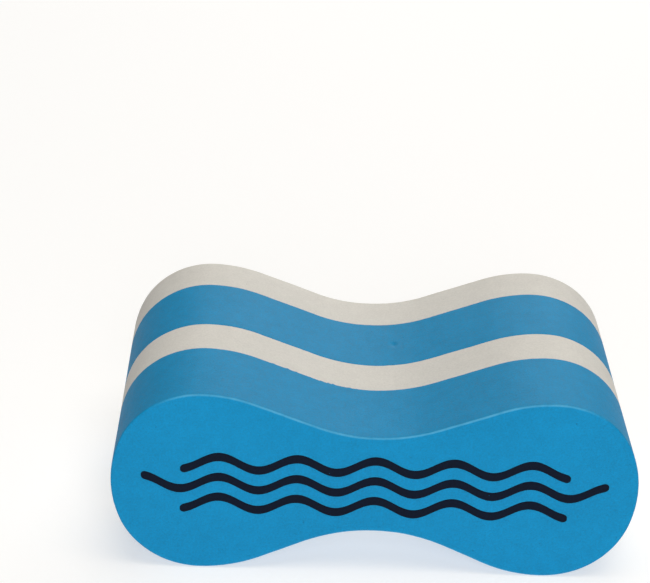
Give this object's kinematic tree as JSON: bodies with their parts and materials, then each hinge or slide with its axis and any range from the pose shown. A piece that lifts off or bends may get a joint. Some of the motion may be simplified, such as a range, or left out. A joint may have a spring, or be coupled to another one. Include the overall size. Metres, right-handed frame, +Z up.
{
  "type": "pull buoy",
  "caption": "Peanut-shaped laminated foam float with a saddle above and below its waist, held between a swimmer's thighs.",
  "frame": {"origin": "under the middle of the buoy, on the plane its two lobes lie on", "axes": "+X along the length, +Y through the stack of layers away from the printed face, +Z up through the waist"},
  "size_m": [0.23, 0.1322, 0.087],
  "materials": {
    "blue_foam": "closed-cell foam, fine cell grain, cut sides",
    "white_foam": "closed-cell foam, fine cell grain, cut sides",
    "adhesive": "dried contact adhesive",
    "navy_ink": "matt screen-printed ink"
  },
  "bodies": {
    "root": {"printed_blue_layer": "blue_foam", "white_core_layer": "white_foam", "blue_core_layer": "blue_foam", "white_back_layer": "white_foam", "bond_film_front": "adhesive", "bond_film_middle": "adhesive", "bond_film_back": "adhesive", "printed_waves": "navy_ink"}
  },
  "joints": []
}
